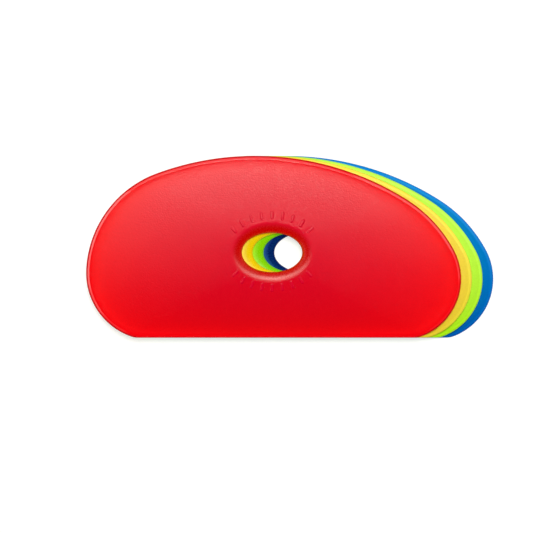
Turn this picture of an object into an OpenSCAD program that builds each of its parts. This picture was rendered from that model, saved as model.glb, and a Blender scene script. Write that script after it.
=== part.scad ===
// A stack of four flexible ribs for shaping clay, one of each firmness, all of one shape.
// Each rib is one moulding: a blade with an arched edge above, a straight edge below,
// round ends, a rounded rim with a smooth band inside it, a domed face and an oval finger
// hole with a rolled lip. Its back is flat.
// The stack lies flat on z = 0, the length runs along x and the arched edges face +y.
// Lengths are in millimetres and turns in degrees.

/* [Arched edge] */
// Radius of the long arch
arch_radius = 140; // [110:1:180]
// Height of the arch's top above the centre of the finger hole
arch_height = 47.5; // [44:0.5:54]
// Place of the arch's top along x, from the centre of the finger hole
arch_shift = -8.3; // [-15:0.1:12]
// Turn of the arch from its top down to the left shoulder
arch_turn_left = 20.2; // [14:0.1:24]
// Turn of the arch from its top down to the right shoulder
arch_turn_right = 32.2; // [24:0.1:36]

/* [Left end] */
// Radius of the left shoulder
left_shoulder_radius = 53; // [44:1:60]
// Turn of the left shoulder
left_shoulder_turn = 67.8; // [58:0.1:76]
// Radius of the left end, which also sets how far down the ends reach
left_end_radius = 33; // [26:1:42]

/* [Right end] */
// Radius of the right shoulder
right_shoulder_radius = 66; // [52:1:78]
// Turn of the right shoulder, down to an end as low as the left one
right_shoulder_turn = 29.7; // [24:0.1:38]

/* [Straight edge] */
// Depth that the straight edge cuts off both round ends
straight_cut = 1.3; // [0.6:0.1:5]
// Radius of the two corners of the straight edge
corner_radius = 10; // [6:1:18]

/* [Finger hole] */
// Length of the oval hole
hole_length = 29.6; // [20:0.2:36]
// Width of the oval hole
hole_width = 19.2; // [14:0.2:24]
// Width of the rolled lip around the hole
lip_width = 4.8; // [3:0.1:7]
// Depth of the rolled lip, from the face down to the hole's straight wall
lip_depth = 4.2; // [2.5:0.1:4.8]

/* [Section] */
// Thickness at the lip of the finger hole, where a rib is thickest
thickness = 6; // [5.4:0.1:8]
// Height of the upright wall at the rim
edge_wall = 1.2; // [0.8:0.1:1.8]
// Radius of the rim's front corner
edge_round = 1.1; // [0.6:0.1:1.4]
// Width of the smooth band, from the rim to the grained face
band_width = 2.4; // [1.8:0.1:4]
// Slope of the smooth band
band_slope = 8; // [4:1:14]
// Chamfer at the flat back's outer edge and at the hole's back edge
back_chamfer = 0.3; // [0.2:0.1:0.5]

/* [Stack] */
// Step to the left from each rib to the one above it
stack_step = 5.3; // [0:0.1:9]
// Clearance between each rib and the one above it
stack_gap = 0.3; // [0.2:0.05:0.6]

/* [Colours] */
// Colour of the bottom rib
blue_colour = "#0079c0"; // color
// Colour of the second rib
green_colour = "#b4ee4a"; // color
// Colour of the third rib
yellow_colour = "#f0cc4a"; // color
// Colour of the top rib
red_colour = "#e2242e"; // color

/* [Quality] */
// Largest distance of a facet from the true arc, in the outline
arc_error = 0.09; // [0.05:0.01:0.3]
// Number of points along the straight edge
straight_steps = 14; // [8:1:24]
// Number of rings across the domed face
face_steps = 7; // [4:1:10]
// Number of rings down the rolled lip
lip_steps = 5; // [3:1:8]

/* [Hidden] */
// Angles are counted from +x, anticlockwise, about each arc's centre.
top_angle = 90;
left_shoulder_start = top_angle + arch_turn_left;
left_end_start = left_shoulder_start + left_shoulder_turn;
right_shoulder_end = top_angle - arch_turn_right;
right_end_end = right_shoulder_end - right_shoulder_turn;

function direction(angle) = [cos(angle), sin(angle)];

// Each arc starts where its neighbour stops and shares its tangent there, so the two
// centres lie on one line with the joining point.
arch_centre = [arch_shift, arch_height - arch_radius];
left_shoulder_centre = arch_centre
    + (arch_radius - left_shoulder_radius) * direction(left_shoulder_start);
left_end_centre = left_shoulder_centre
    + (left_shoulder_radius - left_end_radius) * direction(left_end_start);
right_shoulder_centre = arch_centre
    + (arch_radius - right_shoulder_radius) * direction(right_shoulder_end);

// The right end takes the radius that brings it as low as the left end, and the straight
// edge crosses both just above their lowest points.
lowest_y = left_end_centre[1] - left_end_radius;
right_end_start = right_shoulder_centre + right_shoulder_radius * direction(right_end_end);
right_end_radius = (right_end_start[1] - lowest_y) / (1 + sin(right_end_end));
right_end_centre = right_end_start - right_end_radius * direction(right_end_end);
straight_y = lowest_y + straight_cut;

// A corner circle touches the straight edge and the inside of an end's arc.
function corner_centre(end_centre, end_radius, side) =
    let (y = straight_y + corner_radius)
    let (reach = sqrt(pow(end_radius - corner_radius, 2) - pow(y - end_centre[1], 2)))
    [end_centre[0] + side * reach, y];
left_corner_centre = corner_centre(left_end_centre, left_end_radius, -1);
right_corner_centre = corner_centre(right_end_centre, right_end_radius, 1);

function angle_of(v) = atan2(v[1], v[0]);
left_corner_start = 360 + angle_of(left_corner_centre - left_end_centre);
right_corner_end = angle_of(right_corner_centre - right_end_centre);

// A point of the outline is [place, outward normal].
function arc_steps(radius, turn) = max(2, ceil(turn / (2 * acos(1 - arc_error / radius))));
function arc_points(centre, radius, from, to) =
    let (steps = arc_steps(radius, to - from))
    [for (i = [0 : steps - 1])
        let (n = direction(from + (to - from) * i / steps))
        [centre + radius * n, n]];

// Points along the straight edge keep an even turn about the finger hole.
function oval_angle(p) = atan2(p[1] / hole_width, p[0] / hole_length);
straight_from = oval_angle([left_corner_centre[0], straight_y]);
straight_to = oval_angle([right_corner_centre[0], straight_y]);
function straight_point(angle) =
    [[straight_y * hole_length / hole_width / tan(angle), straight_y], [0, -1]];

outline = concat(
    arc_points(right_corner_centre, corner_radius, -90, right_corner_end),
    arc_points(right_end_centre, right_end_radius, right_corner_end, right_end_end),
    arc_points(right_shoulder_centre, right_shoulder_radius, right_end_end, right_shoulder_end),
    arc_points(arch_centre, arch_radius, right_shoulder_end, left_shoulder_start),
    arc_points(left_shoulder_centre, left_shoulder_radius, left_shoulder_start, left_end_start),
    arc_points(left_end_centre, left_end_radius, left_end_start, left_corner_start),
    arc_points(left_corner_centre, corner_radius, left_corner_start, 270),
    [for (i = [0 : straight_steps - 1])
        straight_point(straight_from + (straight_to - straight_from) * i / straight_steps)]);
points_around = len(outline);

// The finger hole's point that faces each point of the outline.
function hole_point(p) =
    let (a = oval_angle(p))
    let (n = [cos(a) / hole_length, sin(a) / hole_width])
    [[cos(a) * hole_length / 2, sin(a) * hole_width / 2], n / norm(n)];
hole = [for (o = outline) hole_point(o[0])];

// Rings keep a set distance from the outline or from the hole, at one height.
function at_height(p, z) = [p[0], p[1], z];
function rim_ring(inset, z) = [for (o = outline) at_height(o[0] - inset * o[1], z)];
function hole_ring(outset, z) = [for (h = hole) at_height(h[0] + outset * h[1], z)];

// Rim: the upright wall, its rounded front corner and the smooth band.
round_turn = 90 - band_slope;
round_steps = 4;
rim_rings = [for (i = [0 : round_steps])
    let (a = round_turn * i / round_steps)
    rim_ring(edge_round * (1 - cos(a)), edge_wall + edge_round * sin(a))];
round_inset = edge_round * (1 - cos(round_turn));
round_top = edge_wall + edge_round * sin(round_turn);
band_top = round_top + (band_width - round_inset) * tan(band_slope);

// Face: a dome whose height falls with the square of the share of the way out from the
// hole's centre to the band. Its crest is set so that the lip's highest point has the
// full thickness.
face_from = rim_ring(band_width, 0);
face_to = hole_ring(lip_width, 0);
function way_out(p, k) = norm(p) / norm(face_from[k]);
lip_share = min([for (k = [0 : points_around - 1]) way_out(face_to[k], k)]);
crest = band_top + (thickness - band_top) / (1 - pow(lip_share, 2));
function face_height(p, k) = crest - (crest - band_top) * pow(way_out(p, k), 2);
face_rings = [for (i = [0 : face_steps])
    let (u = i / face_steps)
    [for (k = [0 : points_around - 1])
        let (p = face_from[k] * (1 - u) + face_to[k] * u)
        at_height(p, face_height(p, k))]];

// Lip: a quarter of an ellipse that rolls over from the face into the hole's upright wall.
wall_top = thickness - lip_depth;
lip_rings = [for (i = [1 : lip_steps])
    let (a = 90 * i / lip_steps)
    let (ring = hole_ring(lip_width * (1 - sin(a)), 0))
    [for (k = [0 : points_around - 1])
        at_height(ring[k], wall_top + (face_height(face_to[k], k) - wall_top) * cos(a))]];

rings = concat(
    [rim_ring(back_chamfer, 0), rim_ring(0, back_chamfer)],
    rim_rings,
    face_rings,
    lip_rings,
    [hole_ring(0, back_chamfer), hole_ring(back_chamfer, 0)]);

NODES = ["blue_rib", "green_rib", "yellow_rib", "red_rib"];

// The stack's box has its middle at x = 0 and y = 0.
left_x = min([for (o = outline) o[0][0]]);
right_x = max([for (o = outline) o[0][0]]);
top_y = max([for (o = outline) o[0][1]]);
steps_up = len(NODES) - 1;
first_x = (steps_up * stack_step - left_x - right_x) / 2;
middle_y = -(top_y + straight_y) / 2;
level_height = thickness + stack_gap;

// One rib with the centre of its finger hole on the z axis and its back on z = 0.
// Ring after ring is joined by pairs of triangles, and the last ring closes on the first.
module rib() {
    count = len(rings);
    polyhedron(
        points = [for (ring = rings) each ring],
        faces = [for (r = [0 : count - 1], k = [0 : points_around - 1])
            let (here = r * points_around, above = (r + 1) % count * points_around)
            let (next = (k + 1) % points_around)
            each [[here + k, above + k, above + next], [here + k, above + next, here + next]]]);
}

// A rib in its place in the stack, counted up from the bottom.
module stacked_rib(level) {
    translate([first_x - level * stack_step, middle_y, level * level_height]) rib();
}

module blue_rib() {
    color(blue_colour) stacked_rib(0);
}

module green_rib() {
    color(green_colour) stacked_rib(1);
}

module yellow_rib() {
    color(yellow_colour) stacked_rib(2);
}

module red_rib() {
    color(red_colour) stacked_rib(3);
}

blue_rib();
green_rib();
yellow_rib();
red_rib();
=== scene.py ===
# %% [markdown]
# A stack of four flexible pottery ribs, seen from straight above on a white table.
# A rib is a hand tool: its long arched edge and its straight edge shape and smooth wet clay, and
# a finger goes through the oval hole. The four ribs here share one shape and differ in firmness,
# which their colours tell apart. This lesson draws the shape once, as one Geometry Nodes tree,
# runs the tree for each rib in its place, gives each its own colour of moulded rubber, and
# lights the stack like a product picture.

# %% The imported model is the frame
import math

import bpy
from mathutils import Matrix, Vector


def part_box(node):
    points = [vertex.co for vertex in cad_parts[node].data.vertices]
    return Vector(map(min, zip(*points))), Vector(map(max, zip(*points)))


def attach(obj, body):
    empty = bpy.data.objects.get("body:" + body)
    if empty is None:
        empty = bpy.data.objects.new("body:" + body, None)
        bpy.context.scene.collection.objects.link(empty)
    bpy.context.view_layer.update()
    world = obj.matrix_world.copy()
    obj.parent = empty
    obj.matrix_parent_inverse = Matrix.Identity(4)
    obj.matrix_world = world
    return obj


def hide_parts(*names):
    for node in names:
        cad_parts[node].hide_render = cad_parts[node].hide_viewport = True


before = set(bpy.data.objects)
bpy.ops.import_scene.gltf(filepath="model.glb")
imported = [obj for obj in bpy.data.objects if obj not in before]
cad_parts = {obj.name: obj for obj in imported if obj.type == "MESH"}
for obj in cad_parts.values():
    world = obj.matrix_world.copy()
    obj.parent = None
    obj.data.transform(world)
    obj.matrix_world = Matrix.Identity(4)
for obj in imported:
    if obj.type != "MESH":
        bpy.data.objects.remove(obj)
scene = bpy.context.scene
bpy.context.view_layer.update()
MM = 0.001
RIBS = ["blue_rib", "green_rib", "yellow_rib", "red_rib"]

# %% [markdown]
# The outline of a rib is drafted the way a template maker would draw it: one long arch, a
# shoulder and a round end on each side, and a straight edge that cuts the ends off with two
# small corners. Neighbouring arcs share a tangent, so each centre follows from the one before
# it. The alternative is to push the points of a Bezier curve around by eye, but then the curve
# has no sizes that anyone can name. All lengths here are in millimetres, all places are measured
# from the centre of the finger hole, and all turns are in degrees.

# %% Sizes of the outline
ARCH_RADIUS, ARCH_HEIGHT, ARCH_SHIFT = 140, 47.5, -8.3
ARCH_TURN_LEFT, ARCH_TURN_RIGHT = 20.2, 32.2
LEFT_SHOULDER_RADIUS, LEFT_SHOULDER_TURN, LEFT_END_RADIUS = 53, 67.8, 33
RIGHT_SHOULDER_RADIUS, RIGHT_SHOULDER_TURN = 66, 29.7
STRAIGHT_CUT, CORNER_RADIUS = 1.3, 10


def direction(degrees):
    """The unit vector at an angle counted from +X, anticlockwise."""
    return Vector((math.cos(math.radians(degrees)), math.sin(math.radians(degrees))))


print("the arch turns %.1f degrees in all" % (ARCH_TURN_LEFT + ARCH_TURN_RIGHT))


# %% The chain of arcs
arch_centre = Vector((ARCH_SHIFT, ARCH_HEIGHT - ARCH_RADIUS))
left_shoulder_from = 90 + ARCH_TURN_LEFT
left_end_from = left_shoulder_from + LEFT_SHOULDER_TURN
left_shoulder_offset = (ARCH_RADIUS - LEFT_SHOULDER_RADIUS) * direction(left_shoulder_from)
left_shoulder_centre = arch_centre + left_shoulder_offset
left_end_offset = (LEFT_SHOULDER_RADIUS - LEFT_END_RADIUS) * direction(left_end_from)
left_end_centre = left_shoulder_centre + left_end_offset

right_shoulder_to = 90 - ARCH_TURN_RIGHT
right_end_to = right_shoulder_to - RIGHT_SHOULDER_TURN
right_shoulder_offset = (ARCH_RADIUS - RIGHT_SHOULDER_RADIUS) * direction(right_shoulder_to)
right_shoulder_centre = arch_centre + right_shoulder_offset
right_end_start = right_shoulder_centre + RIGHT_SHOULDER_RADIUS * direction(right_end_to)

# The right end takes the radius that brings it as low as the left end.
lowest_y = left_end_centre.y - LEFT_END_RADIUS
right_end_radius = (right_end_start.y - lowest_y) / (1 + direction(right_end_to).y)
right_end_centre = right_end_start - right_end_radius * direction(right_end_to)
straight_y = lowest_y + STRAIGHT_CUT
print("right end radius %.2f mm, straight edge at y = %.2f mm" % (right_end_radius, straight_y))


# %% The two corners, and the list of arcs
def corner_arc(end_centre, end_radius, side):
    """The corner's centre, and the angle at which it touches the inside of the round end."""
    y = straight_y + CORNER_RADIUS
    reach = math.sqrt((end_radius - CORNER_RADIUS) ** 2 - (y - end_centre.y) ** 2)
    centre = Vector((end_centre.x + side * reach, y))
    touch = centre - end_centre
    return centre, math.degrees(math.atan2(touch.y, touch.x))


left_corner_centre, left_corner_from = corner_arc(left_end_centre, LEFT_END_RADIUS, -1)
right_corner_centre, right_corner_to = corner_arc(right_end_centre, right_end_radius, 1)
ARCS = [
    (right_corner_centre, CORNER_RADIUS, -90, right_corner_to),
    (right_end_centre, right_end_radius, right_corner_to, right_end_to),
    (right_shoulder_centre, RIGHT_SHOULDER_RADIUS, right_end_to, right_shoulder_to),
    (arch_centre, ARCH_RADIUS, right_shoulder_to, left_shoulder_from),
    (left_shoulder_centre, LEFT_SHOULDER_RADIUS, left_shoulder_from, left_end_from),
    (left_end_centre, LEFT_END_RADIUS, left_end_from, left_corner_from + 360),
    (left_corner_centre, CORNER_RADIUS, left_corner_from + 360, 270),
]
print("the outline has", len(ARCS), "arcs and one straight edge")

# %% [markdown]
# Both drawings, the outline and the section, become curve objects that the node tree can read.
# A poly spline with a point every half millimetre follows an arc to a few thousandths of a
# millimetre, and unlike a Bezier segment it needs no handles.

# %% The outline as a curve
ARC_STEP = 0.5


def curve_object(name, points, closed):
    """A curve of straight pieces through the points, given in millimetres."""
    curve = bpy.data.curves.new(name, "CURVE")
    curve.dimensions = "3D"
    spline = curve.splines.new("POLY")
    spline.points.add(len(points) - 1)
    for place, point in zip(spline.points, points):
        place.co = (*(c * MM for c in point), 1)
    spline.use_cyclic_u = closed
    drawing = bpy.data.objects.new(name, curve)
    scene.collection.objects.link(drawing)
    return drawing


def arc_points(centre, radius, start, end):
    """Points along an arc, without its last one, which starts the next arc."""
    steps = max(2, math.ceil(math.radians(end - start) * radius / ARC_STEP))
    turns = (start + (end - start) * i / steps for i in range(steps))
    return [(*(centre + radius * direction(turn)), 0) for turn in turns]


outline_points = [point for arc in ARCS for point in arc_points(*arc)]
straight_from, straight_to = left_corner_centre.x, right_corner_centre.x
straight_steps = math.ceil((straight_to - straight_from) / ARC_STEP)
for i in range(straight_steps):
    x = straight_from + (straight_to - straight_from) * i / straight_steps
    outline_points.append((x, straight_y, 0))
outline_drawing = curve_object("outline_drawing", outline_points, True)
outline_left = min(point[0] for point in outline_points)
outline_right = max(point[0] for point in outline_points)
cad_low, cad_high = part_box("red_rib")
print("drawn length %.2f mm" % (outline_right - outline_left))
print("frame's length %.2f mm" % ((cad_high[0] - cad_low[0]) / MM))

# %% [markdown]
# The section runs from the rim to the finger hole and back again under the rib. A real rib has
# no sharp edge that could cut clay or skin: its outer edge is a large round, a polished bevel
# rises from it to a crease, and an almost level smooth band leads from the crease to the domed
# face. The first coordinate is the way across and the second is the height. The third says how
# much of the dome's fall a point takes: all of it on the face, none on the rim and the back,
# and a share that fades out down the rolled lip. The face is drawn at a nominal width, and the
# loft stretches it to the real distance between rim and hole. Its rows are evenly spaced,
# because the face is relaxed later on, and that works on neighbours without measuring them.

# %% Sizes of the section
THICKNESS = 6
LIP_WIDTH, LIP_DEPTH = 5.3, 4.2
DOME_EDGE = 2.46
SKIRT_HEIGHT, SKIRT_REACH = 0.14, 1.8
BAND_WIDTH, BAND_SLOPE = 2.4, 2.5
BEVEL_WIDTH, BEVEL_SLOPE = 1.6, 38
EDGE_ROUND, CREASE_ROUND, BACK_ROUND = 2.35, 0.3, 0.15
FACE_SPAN = 30
FACE_STEPS, LIP_STEPS, BACK_STEPS, ROUND_STEPS = 48, 18, 9, 8

edge_height = DOME_EDGE + SKIRT_HEIGHT
hole_at = BAND_WIDTH + FACE_SPAN + LIP_WIDTH
wall_top = THICKNESS - LIP_DEPTH
print("the rib is %.2f mm high at the band and %.2f mm at the lip" % (edge_height, THICKNESS))


# %% Steps and rounded corners
def shares(steps):
    """Even steps from 0 to 1, without 0."""
    return [i / steps for i in range(1, steps + 1)]


def rounded(before, corner, after, radius):
    """Points of an arc that rounds a corner between two straight lines."""
    before, corner, after = Vector(before), Vector(corner), Vector(after)
    way_in, way_on = (before - corner).normalized(), (after - corner).normalized()
    half = way_in.angle(way_on) / 2
    start = corner + way_in * radius / math.tan(half)
    end = corner + way_on * radius / math.tan(half)
    centre = corner + (way_in + way_on).normalized() * radius / math.sin(half)
    points = []
    for share in [0] + shares(ROUND_STEPS):
        way = start.lerp(end, share) - centre
        points.append(centre + way.normalized() * radius)
    return points


print("a rounded corner has", ROUND_STEPS + 1, "points")


# %% The rim's part of the section
band_slope = math.tan(math.radians(BAND_SLOPE))
bevel_slope = math.tan(math.radians(BEVEL_SLOPE))
BAND_ENDS_BEFORE = 0.3
back_foot, back_inside = (0, 0), (hole_at, 0)
band_line_at = (BAND_WIDTH, edge_height)
crease_at = (BEVEL_WIDTH, edge_height - (BAND_WIDTH - BEVEL_WIDTH) * band_slope)
edge_at = (0, crease_at[1] - BEVEL_WIDTH * bevel_slope)
rim = rounded(back_inside, back_foot, edge_at, BACK_ROUND)
rim += rounded(back_foot, edge_at, crease_at, EDGE_ROUND)
rim += rounded(edge_at, crease_at, band_line_at, CREASE_ROUND)
rim.append(Vector((BAND_WIDTH - BAND_ENDS_BEFORE, edge_height - BAND_ENDS_BEFORE * band_slope)))
print("the bevel would meet the rim at %.2f mm and ends at %.2f mm" % (edge_at[1], crease_at[1]))

# %% The whole section as a curve
section_points = [(x, z, 0) for x, z in rim]
for share in [0] + shares(FACE_STEPS):
    section_points.append((BAND_WIDTH + FACE_SPAN * share, THICKNESS, 1))
for share in shares(LIP_STEPS):
    quarter = share * math.pi / 2
    x = hole_at - LIP_WIDTH * (1 - math.sin(quarter))
    section_points.append((x, wall_top + LIP_DEPTH * math.cos(quarter), math.cos(quarter)))
section_points.append((hole_at, (wall_top + BACK_ROUND) / 2, 0))
for x, z in rounded((hole_at, wall_top), back_inside, back_foot, BACK_ROUND):
    section_points.append((x, z, 0))
clear_of_round = 3 * BACK_ROUND
section_points.append((hole_at - clear_of_round, 0, 0))
for share in shares(BACK_STEPS)[:-1]:
    section_points.append((hole_at * (1 - share), 0, 0))
section_points += [(clear_of_round, 0, 0), (BACK_ROUND, 0, 0)]
section_drawing = curve_object("section_drawing", section_points, False)
print("section:", len(section_points), "points")

# %% [markdown]
# Node trees are easier to read as formulas. A small class wraps a socket and overloads the
# arithmetic operators, so an expression such as 1 - mask adds its own Math node. A second
# class adds every other kind of node: it sets the node's settings first, then fills its
# sockets with values or links. Both serve the geometry tree and the materials alike.

# %% Sockets as numbers
VECTOR_SOCKETS = ("VECTOR", "RGBA", "ROTATION")


class Wire:
    """One output socket, on which sums are written as on a number or a vector."""

    def __init__(self, maker, socket):
        self.maker = maker
        self.socket = socket

    def __add__(self, other):
        return self.maker.math("ADD", self, other)

    def __radd__(self, other):
        return self.maker.math("ADD", other, self)

    def __sub__(self, other):
        return self.maker.math("SUBTRACT", self, other)

    def __rsub__(self, other):
        return self.maker.math("SUBTRACT", other, self)

    def __mul__(self, other):
        return self.maker.math("MULTIPLY", self, other)

    def __rmul__(self, other):
        return self.maker.math("MULTIPLY", other, self)

    def __truediv__(self, other):
        return self.maker.math("DIVIDE", self, other)

    def __rtruediv__(self, other):
        return self.maker.math("DIVIDE", other, self)

    def __pow__(self, other):
        return self.maker.math("POWER", self, other)

    def __rpow__(self, other):
        return self.maker.math("POWER", other, self)


print("sums on sockets are ready")


# %% Nodes from one method
class NodeMaker:
    """Adds nodes to one tree."""

    def __init__(self, tree):
        self.tree = tree

    def node(self, kind, settings=None, sockets=None):
        """A node of this kind. Sockets are named, or numbered where names repeat."""
        made = self.tree.nodes.new(kind)
        for name, value in (settings or {}).items():
            setattr(made, name, value)
        for name, value in (sockets or {}).items():
            if isinstance(value, Wire):
                self.tree.links.new(value.socket, made.inputs[name])
            else:
                made.inputs[name].default_value = value
        return made

    def wire(self, kind, output, settings=None, sockets=None):
        """One output of a new node."""
        return Wire(self, self.node(kind, settings, sockets).outputs[output])

    def math(self, operation, *values):
        """A Math node, or a Vector Math node where a value is a vector."""
        wires = [value for value in values if isinstance(value, Wire)]
        vector = any(wire.socket.type in VECTOR_SOCKETS for wire in wires)
        kind = "ShaderNodeVectorMath" if vector else "ShaderNodeMath"
        if vector:
            values = [v if isinstance(v, (Wire, tuple)) else (v, v, v) for v in values]
        return self.wire(kind, 0, {"operation": operation}, dict(enumerate(values)))

    def clamp(self, value, low=0.0, high=1.0):
        """The value, held between two limits."""
        return self.wire("ShaderNodeClamp", 0, None, {"Value": value, "Min": low, "Max": high})

    def ramp(self, value, start, end):
        """How far the value has come from start to end, from 0 to 1."""
        return self.clamp((value - start) / (end - start))

    def vector(self, x=0.0, y=0.0, z=0.0):
        """Three numbers as one vector."""
        return self.wire("ShaderNodeCombineXYZ", 0, None, {"X": x, "Y": y, "Z": z})

    def parts(self, vector):
        """The three numbers of a vector."""
        split = self.node("ShaderNodeSeparateXYZ", None, {0: vector})
        return [Wire(self, split.outputs[i]) for i in range(3)]

    def length(self, vector):
        """A vector's length."""
        return self.wire("ShaderNodeVectorMath", "Value", {"operation": "LENGTH"}, {0: vector})

    def unit(self, vector):
        """A vector's direction, one unit long."""
        return self.math("NORMALIZE", vector)


print("the node maker is ready")


# %% A geometry tree with named inputs
class GeometryMaker(NodeMaker):
    """Starts a Geometry Nodes tree with named inputs and one geometry output."""

    def __init__(self, name, inputs):
        super().__init__(bpy.data.node_groups.new(name, "GeometryNodeTree"))
        face = self.tree.interface
        face.new_socket("Geometry", in_out="OUTPUT", socket_type="NodeSocketGeometry")
        self.identifiers = {}
        for label, kind in inputs.items():
            made = face.new_socket(label, in_out="INPUT", socket_type="NodeSocket" + kind)
            self.identifiers[label] = made.identifier
        self.entry = self.node("NodeGroupInput")
        self.exit = self.node("NodeGroupOutput")

    def given(self, label):
        """One of the tree's named inputs."""
        return Wire(self, self.entry.outputs[label])

    def store(self, geometry, name, value):
        """Keeps a number on every point under a name that materials can read."""
        settings = {"data_type": "FLOAT", "domain": "POINT"}
        return self.wire("GeometryNodeStoreNamedAttribute", 0, settings,
                         {"Geometry": geometry, "Name": name, "Value": value})

    def stored(self, name):
        """A number that was kept on the points."""
        return self.wire("GeometryNodeInputNamedAttribute", 0,
                         {"data_type": "FLOAT"}, {"Name": name})


print("the geometry maker is ready")

# %% [markdown]
# The loft. A flat grid has one column for every step along the outline and one row for every
# point of the section. The tree looks up both drawings for each grid point and moves it there:
# rim rows keep a set distance from the outline, lip rows keep a set distance from the hole, and
# face rows lie on the straight way between the two. The face is domed. Its height falls with
# the square of the way out, and the heights are then blurred like a skin that is stretched over
# the rim, so no crease runs in from the corners. Curve to Mesh could sweep one profile round
# the outline, but it can't turn the outline into an oval on the way in.

# %% The rib's node tree
loft = GeometryMaker("Rib loft", {
    "Outline": "Object", "Section": "Object", "Columns": "Int", "Rows": "Int",
    "Hole length": "Float", "Hole width": "Float", "Lip width": "Float", "Band width": "Float",
    "Face span": "Float", "Thickness": "Float", "Band top": "Float", "Crest": "Float",
    "Relaxing": "Int", "Grip count": "Int", "Grip length": "Float", "Grip breadth": "Float",
    "Grip height": "Float", "Grip distance": "Float", "Grip row shift": "Float",
    "Grip spread": "Float", "Place": "Vector", "Finish": "Material"})


def drawing(label):
    """The curve of a drawing that is given as an object."""
    return loft.wire("GeometryNodeObjectInfo", "Geometry", None, {"Object": loft.given(label)})


grid = loft.wire("GeometryNodeMeshGrid", "Mesh", None, {
    "Size X": 1.0, "Size Y": 1.0,
    "Vertices X": loft.given("Columns") + 1, "Vertices Y": loft.given("Rows")})
position = loft.wire("GeometryNodeInputPosition", 0)
grid_x, grid_y, _ = loft.parts(position)
print("the grid is there")

# %% Looking up both drawings
around = loft.node("GeometryNodeSampleCurve", {"mode": "FACTOR", "use_all_curves": True}, {
    "Curves": drawing("Outline"), "Factor": loft.clamp(grid_x + 0.5)})
rim_point = Wire(loft, around.outputs["Position"])
tangent_x, tangent_y, _ = loft.parts(Wire(loft, around.outputs["Tangent"]))
rim_outward = loft.unit(loft.vector(tangent_y, tangent_x * -1))

row = loft.math("ROUND", (grid_y + 0.5) * (loft.given("Rows") - 1))
drawn_settings = {"data_type": "FLOAT_VECTOR", "domain": "POINT"}
drawn = loft.wire("GeometryNodeSampleIndex", 0, drawn_settings, {
    "Geometry": drawing("Section"), "Value": position, "Index": row})
across, drawn_height, fall_share_metres = loft.parts(drawn)
fall_share = fall_share_metres / MM
print("lookups:", len(loft.tree.nodes), "nodes so far")

# %% From the rim to the hole
half_length, half_width = loft.given("Hole length") / 2, loft.given("Hole width") / 2
rim_x, rim_y, _ = loft.parts(rim_point)
hole_turn = loft.math("ARCTAN2", rim_y / half_width, rim_x / half_length)
turn_cos, turn_sin = loft.math("COSINE", hole_turn), loft.math("SINE", hole_turn)
hole_point = loft.vector(turn_cos * half_length, turn_sin * half_width)
hole_outward = loft.unit(loft.vector(turn_cos / half_length, turn_sin / half_width))

band, span, lip = (loft.given(label) for label in ("Band width", "Face span", "Lip width"))
inset = loft.clamp(across, 0.0, band)
way_in = loft.clamp((across - band) / span)
outset = loft.clamp(band + span + lip - across, 0.0, lip)
rim_side = rim_point - rim_outward * inset
hole_side = hole_point + hole_outward * outset
plan = rim_side * (1 - way_in) + hole_side * way_in
plan_x, plan_y, _ = loft.parts(plan)
print("plan:", len(loft.tree.nodes), "nodes so far")

# %% The dome
band_line = rim_point - rim_outward * band
lip_line = hole_point + hole_outward * lip
face_place = band_line * (1 - way_in) + lip_line * way_in
way_out = loft.length(face_place) / loft.length(band_line)
dome = loft.given("Crest") - (loft.given("Crest") - loft.given("Band top")) * way_out ** 2
height = drawn_height - fall_share * (loft.given("Thickness") - dome)
lofted = loft.wire("GeometryNodeSetPosition", 0, None, {
    "Geometry": grid, "Position": loft.vector(plan_x, plan_y, height)})
print("dome:", len(loft.tree.nodes), "nodes so far")

# %% [markdown]
# The finish changes from place to place, so the loft keeps what it knows on its points. Most
# values are 0 where nothing special happens: how close a point is to the rim, how far it lies
# towards the two ends or the straight edge, how far down the lip it is, and whether it belongs
# to the polished bevel, to the thin line outside it or to the smooth band. Two values are for
# the shape itself: where the face may relax, and a low skirt that leads it up to the band. The
# fields are read before the grid is moved, so they are stored on the grid first.

# %% What the shape will read
JUST_OFF = 0.001
WHOLE_FALL = 0.99


def above(value, limit):
    """1 where the value is above the limit."""
    return loft.math("GREATER_THAN", value, limit)


on_face = above(fall_share, WHOLE_FALL) * loft.math("LESS_THAN", way_in, 1 - JUST_OFF)
relax = on_face * above(way_in, JUST_OFF)
from_rim = loft.length(rim_point - plan)
skirt_fade = loft.math("EXPONENT", (from_rim - band) / (-SKIRT_REACH * MM))
skirt = on_face * skirt_fade * (SKIRT_HEIGHT * MM)
print("skirt: %.2f mm high, fading over %.1f mm" % (SKIRT_HEIGHT, SKIRT_REACH))

# %% What the materials will read
RIM_REACH, END_REACH, ARCH_REACH, SIDE_REACH = 5.0, 88.0, 84.0, 90.0
BEVEL_FADE, BEVEL_FADE_FROM = 0.3, 0.2
EDGE_LINE_WIDTH, EDGE_LINE_FADE = 0.85, 0.15
BAND_FADE_FROM, BAND_FADE_TO = 0.82, 1.18
FACES_STRAIGHT_DOWN = -0.999

# Painted glow: the colour grows purer near the rim and away from the middle, as if light came
# through the thin rubber.
rim_light = loft.math("EXPONENT", from_rim / (-RIM_REACH * MM))
end_light = (plan_x / (END_REACH * MM)) ** 2 + (plan_y / (ARCH_REACH * MM)) ** 2
# Painted shade: this share darkens the colour towards the straight edge, away from the lamps.
far_side = loft.clamp(0.5 - plan_y / (SIDE_REACH * MM)) ** 2
across_mm = across / MM
bevel_from = BEVEL_WIDTH - BEVEL_FADE_FROM
bevel = 1 - loft.ramp(across_mm, bevel_from, bevel_from + BEVEL_FADE)
on_arch = above(loft.parts(rim_outward)[1], FACES_STRAIGHT_DOWN)
edge_line = (1 - loft.ramp(across_mm, EDGE_LINE_WIDTH - EDGE_LINE_FADE, EDGE_LINE_WIDTH)) * on_arch
smooth_band = 1 - loft.ramp(across / band, BAND_FADE_FROM, BAND_FADE_TO)
down_lip = loft.clamp((across - band - span) / lip)

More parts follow.
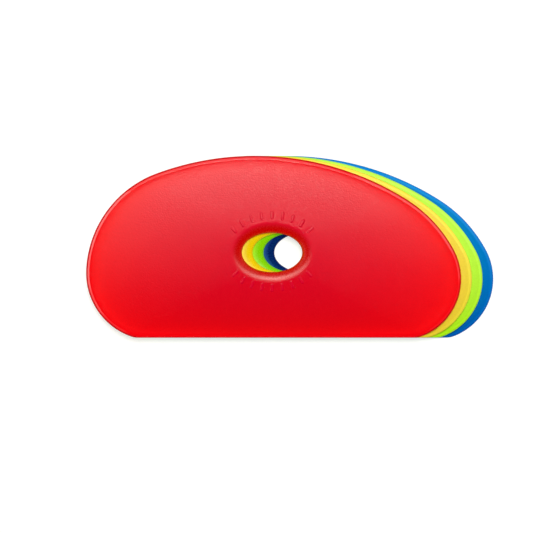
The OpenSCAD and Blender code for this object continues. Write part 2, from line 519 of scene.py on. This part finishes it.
KEPT = {
    "relax": relax, "skirt": skirt, "rim_light": rim_light, "end_light": end_light,
    "far_side": far_side, "bevel": bevel, "edge_line": edge_line,
    "smooth_band": smooth_band, "down_lip": down_lip}
marked = grid
for name, value in KEPT.items():
    marked = loft.store(marked, name, value)
loft.tree.links.new(marked.socket, lofted.socket.node.inputs["Geometry"])
print("kept on the points:", ", ".join(KEPT))

# %% Closing and relaxing the loft
WELD = 0.002
closed = loft.wire("GeometryNodeMergeByDistance", 0, None, {
    "Geometry": lofted, "Distance": WELD * MM})
own_x, own_y, own_height = loft.parts(position)
relaxed_height = loft.wire("GeometryNodeBlurAttribute", 0, {"data_type": "FLOAT"}, {
    "Value": own_height, "Iterations": loft.given("Relaxing"), "Weight": loft.stored("relax")})
face_height = relaxed_height + loft.stored("skirt")
blade = loft.wire("GeometryNodeSetPosition", 0, None, {
    "Geometry": closed, "Position": loft.vector(own_x, own_y, face_height)})
print("blade:", len(loft.tree.nodes), "nodes so far")

# %% [markdown]
# A wet rib is slippery, so two arcs of low grip bars stand on the face around the finger hole,
# one above it and one below. A bar is a small sphere drawn out and flattened into a pill, which
# repeats along an oval that follows the hole, so it is an instance on points. A ray from above
# finds the face under each point, and the bar lies square to it. Modelling each bar by hand
# would take eighteen placements that nobody could change together afterwards.

# %% Where the grip bars stand
RAY_FROM, RAY_LENGTH = 50, 100
grip_index = loft.wire("GeometryNodeInputIndex", 0)
per_row = loft.given("Grip count")
grip_row = loft.math("FLOOR", (grip_index + 0.5) / per_row)
in_row = grip_index - grip_row * per_row
spread = loft.given("Grip spread")
grip_turn = math.pi / 2 - spread / 2 + spread * in_row / (per_row - 1) + grip_row * math.pi
grip_cos, grip_sin = loft.math("COSINE", grip_turn), loft.math("SINE", grip_turn)
grip_outward = loft.unit(loft.vector(grip_cos / half_length, grip_sin / half_width))
grip_distance = loft.given("Grip distance") - grip_row * loft.given("Grip row shift")
grip_plan = (loft.vector(grip_cos * half_length, grip_sin * half_width)
             + grip_outward * grip_distance)
grip_points = loft.wire("GeometryNodePoints", 0, None, {
    "Count": per_row * 2, "Position": grip_plan, "Radius": 1 * MM})
landing = loft.node("GeometryNodeRaycast", None, {
    "Target Geometry": blade, "Source Position": position + (0.0, 0.0, RAY_FROM * MM),
    "Ray Direction": (0.0, 0.0, -1.0), "Ray Length": RAY_LENGTH * MM})
grip_points = loft.wire("GeometryNodeSetPosition", 0, None, {
    "Geometry": grip_points, "Position": Wire(loft, landing.outputs["Hit Position"])})
print("grip points:", len(loft.tree.nodes), "nodes so far")

# %% One grip bar, repeated
BALL_SEGMENTS, BALL_RINGS = 24, 18
FLANK_STEEPNESS, GRIP_SINK = 2, 0.02
ball = loft.wire("GeometryNodeMeshUVSphere", "Mesh", None, {
    "Segments": BALL_SEGMENTS, "Rings": BALL_RINGS, "Radius": 1.0})
ball_x, ball_y, ball_z = loft.parts(position)
breadth = loft.given("Grip breadth") / 2
draw_out = loft.math("SIGN", ball_x) * (loft.given("Grip length") / 2 - breadth)
flank = loft.clamp((1 - loft.length(loft.vector(ball_x, ball_y))) * FLANK_STEEPNESS)
bar_height = loft.given("Grip height") * flank * loft.math("SIGN", ball_z)
bar = loft.wire("GeometryNodeSetPosition", 0, None, {"Geometry": ball, "Position": loft.vector(
    ball_x * breadth + draw_out, ball_y * breadth, bar_height - GRIP_SINK * MM)})
outward_x, outward_y, _ = loft.parts(grip_outward)
heading = loft.wire("FunctionNodeEulerToRotation", 0, None, {
    0: loft.vector(0.0, 0.0, loft.math("ARCTAN2", outward_y, outward_x))})
seated = loft.wire("FunctionNodeAlignRotationToVector", 0, {"axis": "Z", "pivot_axis": "AUTO"}, {
    "Rotation": heading, "Vector": Wire(loft, landing.outputs["Hit Normal"])})
grips = loft.wire("GeometryNodeInstanceOnPoints", 0, None, {
    "Points": grip_points, "Instance": bar, "Rotation": seated})
print("grip bars:", len(loft.tree.nodes), "nodes so far")

# %% Joining and placing
joined = loft.node("GeometryNodeJoinGeometry")
loft.tree.links.new(blade.socket, joined.inputs[0])
loft.tree.links.new(grips.socket, joined.inputs[0])
moved = loft.wire("GeometryNodeTransform", 0, None, {
    "Geometry": Wire(loft, joined.outputs[0]), "Translation": loft.given("Place")})
whole = loft.wire("GeometryNodeRealizeInstances", 0, None, {"Geometry": moved})
smooth = loft.wire("GeometryNodeSetShadeSmooth", 0, None, {0: whole})
finished = loft.wire("GeometryNodeSetMaterial", 0, None, {
    "Geometry": smooth, "Material": loft.given("Finish")})
loft.tree.links.new(finished.socket, loft.exit.inputs[0])
print("rib tree:", len(loft.tree.nodes), "nodes")

# %% [markdown]
# The finish is moulded polyurethane rubber, coloured all through and a little translucent. The
# face has the fine even grain of a blasted mould, which spreads the reflection of the lamps
# into a soft sheen. The rim, its band and the throat of the hole are smooth. Light enters the
# thin rim from the side, so the colour grows purer towards the rim and the ends. A subsurface
# shader could trace that light, but it is slow, and the exported model would lose it. So the
# stored distances steer the colour instead, as painted light: a painted glow towards the rim and
# the ends. Each rib has a colour for the thick middle and one for the thin rim, both for the
# arched side, where the lamps are, and again in painted shade for the far side, and a deeper
# painted shade for the throat of the hole. The bevel and the throat also carry a painted glow,
# a little emission of their own colour, though they are no lamps.

# %% What the grain and the colour are made of
CLOUD_SCALE, SPECK_SCALE, GRAIN_SCALE = 70.0, 1600.0, 1400.0
CLOUD_DETAIL, SPECK_DETAIL, GRAIN_DETAIL = 3.0, 2.0, 1.0
SPECK_ROUGHNESS = 0.6
END_GAIN, RIM_GAIN, CLOUD_GAIN = 0.75, 0.8, 0.08
# The grain and cloud tones are the rubber's own; the line's share is a painted shade.
FINE_SHADE, CLOUD_SHADE, PAINTED_LINE_SHADE = 0.11, 0.03, 0.15
# Down the lip: where the painted throat shade and the painted glow of the throat set in.
THROAT_SHADE_SPAN, THROAT_PAINTED_GLOW_SPAN = (0.045, 0.5), (0.333, 1.0)
THROAT_SMOOTH_SPAN, THROAT_DULL_SPAN = (0.545, 1.0), (0.0, 0.333)
FACE_ROUGHNESS, BAND_POLISH, THROAT_DULLING, ROUGHNESS_SPREAD = 0.185, 0.035, 0.09, 0.14
GRAIN_HEIGHT, GRAIN_STRENGTH, LEAST_STRENGTH = 0.075, 0.9, 0.02
SPECK_WEIGHT, GRAIN_WEIGHT = 0.85, 0.8
# Strength of the painted glow of the bevel and the throat.
PAINTED_GLOW_STRENGTH = 0.28
RUBBER_IOR, COAT_IOR, COAT_ROUGHNESS = 1.5, 2.2, 0.15
READ = ("rim_light", "end_light", "far_side", "bevel", "edge_line", "smooth_band", "down_lip")


def srgb(red, green, blue):
    """A colour as a picture shows it, 0 to 255, turned into the linear light of a shader."""
    shares = (c / 255 for c in (red, green, blue))
    return (*(c / 12.92 if c < 0.04045 else ((c + 0.055) / 1.055) ** 2.4 for c in shares), 1)


print("a middle grey is", [round(c, 3) for c in srgb(128, 128, 128)])

# %% [markdown]
# Two noises make the grain, because one alone shows its cells. They change the height and, a
# little, the shade, and the finer of the two also the roughness. A third, much larger noise
# keeps the colour from looking too even. On the outermost millimetre of the arch and the ends,
# a polished rim turns the lamps' light away from the viewer, and a painted shade darkens the
# colour there too, which together draw a thin dark line around the rib. The polish is a clear
# coat on the bevel, and its glint just inside that line is the brightest thing on the rim. The
# red rib has all of it, and the others, of which only a strip shows, a tenth. A highlight that
# lacks red keeps the blue rib deep under the same lamps.


# %% One finish in four colours
def rubber(name, near, far, shaded_throat, highlight, polish):
    """Moulded rubber. near: middle and rim colours, arched side; far: the same in painted shade."""
    material = bpy.data.materials.new(name)
    material.use_nodes = True
    maker = NodeMaker(material.node_tree)
    maker.tree.nodes.clear()
    read = {}
    for key in READ:
        settings = {"attribute_name": key, "attribute_type": "GEOMETRY"}
        read[key] = maker.wire("ShaderNodeAttribute", "Fac", settings)
    place = maker.wire("ShaderNodeTexCoord", "Object")

    def noise(scale, detail, roughness=0.5):
        return maker.wire("ShaderNodeTexNoise", "Fac", None, {
            "Vector": place, "Scale": scale, "Detail": detail, "Roughness": roughness})

    def blend(share, first, second):
        settings = {"data_type": "RGBA", "blend_type": "MIX"}
        return maker.wire("ShaderNodeMix", 2, settings, {0: share, 6: first, 7: second})

    cloud = noise(CLOUD_SCALE, CLOUD_DETAIL) - 0.5
    speck = noise(SPECK_SCALE, SPECK_DETAIL, SPECK_ROUGHNESS) - 0.5
    grain = noise(GRAIN_SCALE, GRAIN_DETAIL) - 0.5
    down_lip = read["down_lip"]
    # Painted glow: the share of the thin-rim colour, near the rim and away from the middle.
    painted_glow_share = maker.clamp(
        read["end_light"] * END_GAIN + read["rim_light"] * RIM_GAIN + cloud * CLOUD_GAIN)
    # Painted shade: the far colours darken the side away from the lamps, towards the straight edge.
    base = blend(read["far_side"], blend(painted_glow_share, *near), blend(painted_glow_share, *far))
    # Painted shade: down the lip the throat of the hole takes a deeper colour, the shade of the
    # recess.
    base = blend(maker.ramp(down_lip, *THROAT_SHADE_SPAN), base, shaded_throat)
    dark_line = read["edge_line"] * polish
    # Painted shade: the thin line along the rim is darkened, besides the grain's own tone.
    grain_tone_and_edge_shade = 1 + (speck + grain) * FINE_SHADE + cloud * CLOUD_SHADE - dark_line * PAINTED_LINE_SHADE
    base = maker.math("MULTIPLY", base, maker.vector(grain_tone_and_edge_shade, grain_tone_and_edge_shade, grain_tone_and_edge_shade))

    roughness = (FACE_ROUGHNESS - read["smooth_band"] * BAND_POLISH
                 + maker.ramp(down_lip, *THROAT_DULL_SPAN) * THROAT_DULLING
                 + speck * ROUGHNESS_SPREAD)
    grained = 1 - maker.clamp(read["smooth_band"] + maker.ramp(down_lip, *THROAT_SMOOTH_SPAN))
    bump = maker.wire("ShaderNodeBump", "Normal", None, {
        "Strength": grained * GRAIN_STRENGTH + LEAST_STRENGTH, "Distance": GRAIN_HEIGHT * MM,
        "Height": speck * SPECK_WEIGHT + grain * GRAIN_WEIGHT})

    # Painted glow: the bevel and the throat emit a little of their own colour, though they are no
    # lamps. The same mask sets the real clear coat.
    polish_and_painted_glow = read["bevel"] * (1 - dark_line)
    glow = blend(maker.ramp(down_lip, *THROAT_PAINTED_GLOW_SPAN), (0, 0, 0, 1), shaded_throat)
    glow = blend(polish_and_painted_glow, glow, base)
    surface = maker.node("ShaderNodeBsdfPrincipled", None, {
        "Base Color": base, "Roughness": roughness, "Normal": bump, "IOR": RUBBER_IOR,
        "Specular Tint": highlight, "Coat Weight": polish_and_painted_glow * polish, "Coat IOR": COAT_IOR,
        "Coat Roughness": COAT_ROUGHNESS, "Emission Color": glow, "Emission Strength": PAINTED_GLOW_STRENGTH})
    maker.node("ShaderNodeOutputMaterial", None, {"Surface": Wire(maker, surface.outputs[0])})
    print("finish", name, "has", len(maker.tree.nodes), "nodes")
    return material


# %% The four colours
WHITE_HIGHLIGHT = (1, 1, 1, 1)
WARM_HIGHLIGHT = (1, 1, 0.9, 1)
COOL_HIGHLIGHT = (0.1, 1, 1, 1)
FULL_POLISH, TRACE_OF_POLISH = 1.0, 0.1
# Each finish has lit colours for the arched side (near), the same in painted shade (far), a deeper
# painted shade for the throat, which also colours its painted glow, and a highlight tint.
FINISHES = {
    "blue_rib": rubber(
        "blue_moulding",
        near=(srgb(44, 80, 156), srgb(0, 128, 207)), far=(srgb(14, 60, 130), srgb(0, 80, 166)),
        shaded_throat=srgb(0, 28, 102), highlight=COOL_HIGHLIGHT, polish=TRACE_OF_POLISH),
    "green_rib": rubber(
        "green_moulding",
        near=(srgb(158, 232, 40), srgb(194, 252, 71)), far=(srgb(140, 214, 10), srgb(160, 224, 0)),
        shaded_throat=srgb(128, 212, 0), highlight=WHITE_HIGHLIGHT, polish=TRACE_OF_POLISH),
    "yellow_rib": rubber(
        "yellow_moulding",
        near=(srgb(253, 234, 84), srgb(249, 228, 70)), far=(srgb(228, 200, 44), srgb(224, 199, 42)),
        shaded_throat=srgb(236, 207, 0), highlight=WHITE_HIGHLIGHT, polish=TRACE_OF_POLISH),
    "red_rib": rubber(
        "red_moulding",
        near=(srgb(228, 0, 42), srgb(254, 0, 12)), far=(srgb(211, 0, 6), srgb(254, 0, 12)),
        shaded_throat=srgb(202, 0, 0), highlight=WARM_HIGHLIGHT, polish=FULL_POLISH),
}

# %% [markdown]
# One function sets the tree on an empty mesh, reads back the finished mesh, and puts it in the
# place of the plain solid. The left end and the straight edge of the frame's own box say where
# each rib lies, so the stack keeps the places it was built with. Each object stays at the origin
# and its points carry the place. The grain follows the object's own coordinates, so it differs
# from rib to rib although the shape is the same.

# %% Sizes of the hole, the mesh and the grip bars
HOLE_LENGTH, HOLE_WIDTH = 29.6, 19.2
COLUMNS, RELAXING = 512, 400
GRIP_COUNT, GRIP_LENGTH, GRIP_BREADTH, GRIP_HEIGHT = 9, 4.2, 1.6, 0.45
GRIP_DISTANCE, GRIP_ROW_SHIFT, GRIP_SPREAD = 8.7, 1.0, math.radians(116)
lip_reach = HOLE_LENGTH / 2 + LIP_WIDTH
lip_share = min(lip_reach / (outline_right - BAND_WIDTH), lip_reach / (-outline_left - BAND_WIDTH))
crest = DOME_EDGE + (THICKNESS - DOME_EDGE) / (1 - lip_share ** 2)
SIZES = {
    "Outline": outline_drawing, "Section": section_drawing,
    "Columns": COLUMNS, "Rows": len(section_points), "Relaxing": RELAXING,
    "Hole length": HOLE_LENGTH * MM, "Hole width": HOLE_WIDTH * MM, "Lip width": LIP_WIDTH * MM,
    "Band width": BAND_WIDTH * MM, "Face span": FACE_SPAN * MM, "Thickness": THICKNESS * MM,
    "Band top": DOME_EDGE * MM, "Crest": crest * MM,
    "Grip count": GRIP_COUNT, "Grip length": GRIP_LENGTH * MM, "Grip breadth": GRIP_BREADTH * MM,
    "Grip height": GRIP_HEIGHT * MM, "Grip distance": GRIP_DISTANCE * MM,
    "Grip row shift": GRIP_ROW_SHIFT * MM, "Grip spread": GRIP_SPREAD}
print("the dome's crest would be %.2f mm high at the hole's centre" % crest)


# %% Making the four ribs
def make_rib(node):
    """Lofts one rib in its place and hands it over to the body that carries it."""
    low = Vector(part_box(node)[0])
    place = Vector((low.x - outline_left * MM, low.y - straight_y * MM, low.z))
    host = bpy.data.objects.new(node + "_host", bpy.data.meshes.new(node + "_host"))
    scene.collection.objects.link(host)
    modifier = host.modifiers.new("loft", "NODES")
    modifier.node_group = loft.tree
    for label, value in {**SIZES, "Place": place, "Finish": FINISHES[node]}.items():
        modifier[loft.identifiers[label]] = value
    bpy.context.view_layer.update()
    seen = host.evaluated_get(bpy.context.evaluated_depsgraph_get())
    mesh = bpy.data.meshes.new_from_object(seen)
    mesh.name = node + "_moulding"
    # Set Material leaves an empty slot in front of the finish.
    mesh.materials.pop(index=0)
    bpy.data.objects.remove(host)
    rib = bpy.data.objects.new(node + "_moulding", mesh)
    scene.collection.objects.link(rib)
    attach(rib, node)
    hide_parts(node)
    return rib


ribs = {node: make_rib(node) for node in RIBS}
for drawn_curve in (outline_drawing, section_drawing):
    bpy.data.objects.remove(drawn_curve)
for node, rib in ribs.items():
    print(node, len(rib.data.vertices), "points,", len(rib.data.polygons), "faces, materials",
          [m.name for m in rib.data.materials])

# %% [markdown]
# The table is a plain white sheet that is lit from inside a little, like a picture-taker's
# light table, so it stays white even in the well of the finger hole and its shadows are pale.
# It is hidden from reflections, so that the rims show the lamps alone. What belongs to the
# studio and not to the ribs is given in metres: the table, and how far off the cards and the
# camera are.

# %% The table
TABLE_HALF, TABLE_GREY, TABLE_ROUGHNESS, TABLE_GLOW = 3.0, 0.42, 0.9, 0.63


def plain(name, grey, roughness, glow):
    """A plain matt surface with an even glow of its own."""
    material = bpy.data.materials.new(name)
    material.use_nodes = True
    maker = NodeMaker(material.node_tree)
    maker.tree.nodes.clear()
    surface = maker.node("ShaderNodeBsdfPrincipled", None, {
        "Base Color": (grey, grey, grey, 1), "Roughness": roughness,
        "Emission Color": (1, 1, 1, 1), "Emission Strength": glow})
    maker.node("ShaderNodeOutputMaterial", None, {"Surface": Wire(maker, surface.outputs[0])})
    return material


table_mesh = bpy.data.meshes.new("table")
corners = [(x * TABLE_HALF, y * TABLE_HALF, 0) for x, y in ((-1, -1), (1, -1), (1, 1), (-1, 1))]
table_mesh.from_pydata(corners, [], [(0, 1, 2, 3)])
table_mesh.materials.append(plain("table_white", TABLE_GREY, TABLE_ROUGHNESS, TABLE_GLOW))
table = bpy.data.objects.new("table", table_mesh)
scene.collection.objects.link(table)
table.visible_glossy = False
print("the table is", 2 * TABLE_HALF, "m wide")

# %% [markdown]
# The light comes from the arched side. A wide curved soft box hangs there, from 12 to 58
# degrees away from straight up: the domed face turns towards it at the top and away from it at
# the bottom, which makes the sheen fade down the blade, and the part of the rolled lip that
# faces it shows a bright crescent. The box is made of flat cards in three rows, brightest in
# the middle, because one large lamp would have the same strength all over. A ring of low cards
# just above the table shows only in steep places: it draws the bright line along the bevel. The
# cards show in reflections alone, so they can be shaped freely without changing any shadow.

# %% Light cards
CARD_DISTANCE = 1.5
ROW_LIMITS, ROW_SPREAD = (12, 25, 40, 58), 26
LOW_ROW = (70, 89)
# Each azimuth has the strengths of its three cards, the highest card first.
SOFT_BOX = {
    40: (1.2, 2.4, 0.5), 66: (2.0, 7.0, 2.0), 92: (2.2, 12.0, 3.0),
    118: (2.0, 7.5, 2.0), 144: (3.2, 2.5, 0.3)}
# Each azimuth has the width of its card in degrees, and the strength.
LOW_RING = {
    230: (24, 0.14), 206: (24, 0.5), 180: (28, 1.0), 148: (36, 1.3),
    100: (56, 0.45), 47: (44, 0.8), 12: (26, 0.35), -30: (56, 0.05)}


def polar(distance, from_vertical, azimuth):
    """A place at an angle from straight up, turned towards an azimuth counted from +X."""
    tilt, turn = math.radians(from_vertical), math.radians(azimuth)
    flat = distance * math.sin(tilt)
    return Vector((flat * math.cos(turn), flat * math.sin(turn), distance * math.cos(tilt)))


def card(low, high, azimuth, card_spread, radiance):
    """A lamp that only shows as a reflection, between two angles from straight up."""
    light = bpy.data.lights.new("card", "AREA")
    light.shape = "RECTANGLE"
    middle = (low + high) / 2
    radius = CARD_DISTANCE * math.sin(math.radians(middle))
    light.size = 2 * radius * math.tan(math.radians(card_spread / 2))
    light.size_y = 2 * CARD_DISTANCE * math.tan(math.radians((high - low) / 2))
    light.energy = radiance * math.pi * light.size * light.size_y
    lamp = bpy.data.objects.new("card", light)
    lamp.location = polar(CARD_DISTANCE, middle, azimuth)
    lamp.rotation_euler = lamp.location.to_track_quat("Z", "Y").to_euler()
    lamp.visible_diffuse = False
    scene.collection.objects.link(lamp)


for azimuth, row_radiances in SOFT_BOX.items():
    for low, high, radiance in zip(ROW_LIMITS, ROW_LIMITS[1:], row_radiances):
        card(low, high, azimuth, ROW_SPREAD, radiance)
for azimuth, (low_spread, radiance) in LOW_RING.items():
    card(*LOW_ROW, azimuth, low_spread, radiance)
print("cards:", (len(ROW_LIMITS) - 1) * len(SOFT_BOX) + len(LOW_RING))

# %% [markdown]
# Two more lamps light the colours and the table. One hangs nearly overhead and drops a narrow
# soft shadow below the straight edge. The other is as wide as the sky and fills that shadow a
# little. Both are hidden from reflections, so the sheen comes from the cards alone. A plain
# white world would do for the fill, but a little of it always shows in the gloss, so the world
# is lit only where the camera looks past the table.

# %% Overhead light, sky and world
SUN_STRENGTH, SUN_WIDTH, SUN_TILT = 0.85, 9.6, 4.8
SKY_STRENGTH, SKY_WIDTH = 0.15, 140
ARCH_AZIMUTH = 90


def far_lamp(name, strength, width, tilt):
    """A lamp without a place, which lights a white sheet below it to the given strength."""
    light = bpy.data.lights.new(name, "SUN")
    light.energy = strength * math.pi
    light.angle = math.radians(width)
    lamp = bpy.data.objects.new(name, light)
    lamp.rotation_euler = polar(1, tilt, ARCH_AZIMUTH).to_track_quat("Z", "Y").to_euler()
    lamp.visible_glossy = False
    scene.collection.objects.link(lamp)


far_lamp("overhead", SUN_STRENGTH, SUN_WIDTH, SUN_TILT)
far_lamp("sky", SKY_STRENGTH, SKY_WIDTH, 0)

world = bpy.data.worlds.new("studio")
world.use_nodes = True
background = world.node_tree.nodes["Background"]
background.inputs["Color"].default_value = (1, 1, 1, 1)
ray_kind = world.node_tree.nodes.new("ShaderNodeLightPath")
world.node_tree.links.new(ray_kind.outputs["Is Camera Ray"], background.inputs["Strength"])
scene.world = world
scene.view_settings.view_transform = "Standard"
scene.view_settings.look = "None"

# %% [markdown]
# The picture is taken from straight above with a very long lens, so the lower ribs don't look
# smaller than the top one. The middle of the picture lies a little below and to the left of
# the red rib's finger hole, and the whole picture is 261.8 mm wide.

# %% Camera
PICTURE_WIDTH, PICTURE_MIDDLE = 261.8, (-2.73, -6.87)
CAMERA_HEIGHT, FOCUS_RISE = 12.0, 1
SENSOR_WIDTH, FARTHEST = 36, 50
red_low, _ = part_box("red_rib")
red_hole = Vector((red_low[0] - outline_left * MM, red_low[1] - straight_y * MM))
camera_data = bpy.data.cameras.new("camera")
camera_data.sensor_width = SENSOR_WIDTH
camera_data.clip_end = FARTHEST
focus_height = red_low[2] + FOCUS_RISE * MM
camera_data.lens = SENSOR_WIDTH * (CAMERA_HEIGHT - focus_height) / (PICTURE_WIDTH * MM)
camera = bpy.data.objects.new("camera", camera_data)
middle_x, middle_y = (red_hole[i] + PICTURE_MIDDLE[i] * MM for i in range(2))
camera.location = (middle_x, middle_y, CAMERA_HEIGHT)
scene.collection.objects.link(camera)
scene.camera = camera
print("camera at", [round(v, 4) for v in camera.location], "lens", round(camera_data.lens), "mm")
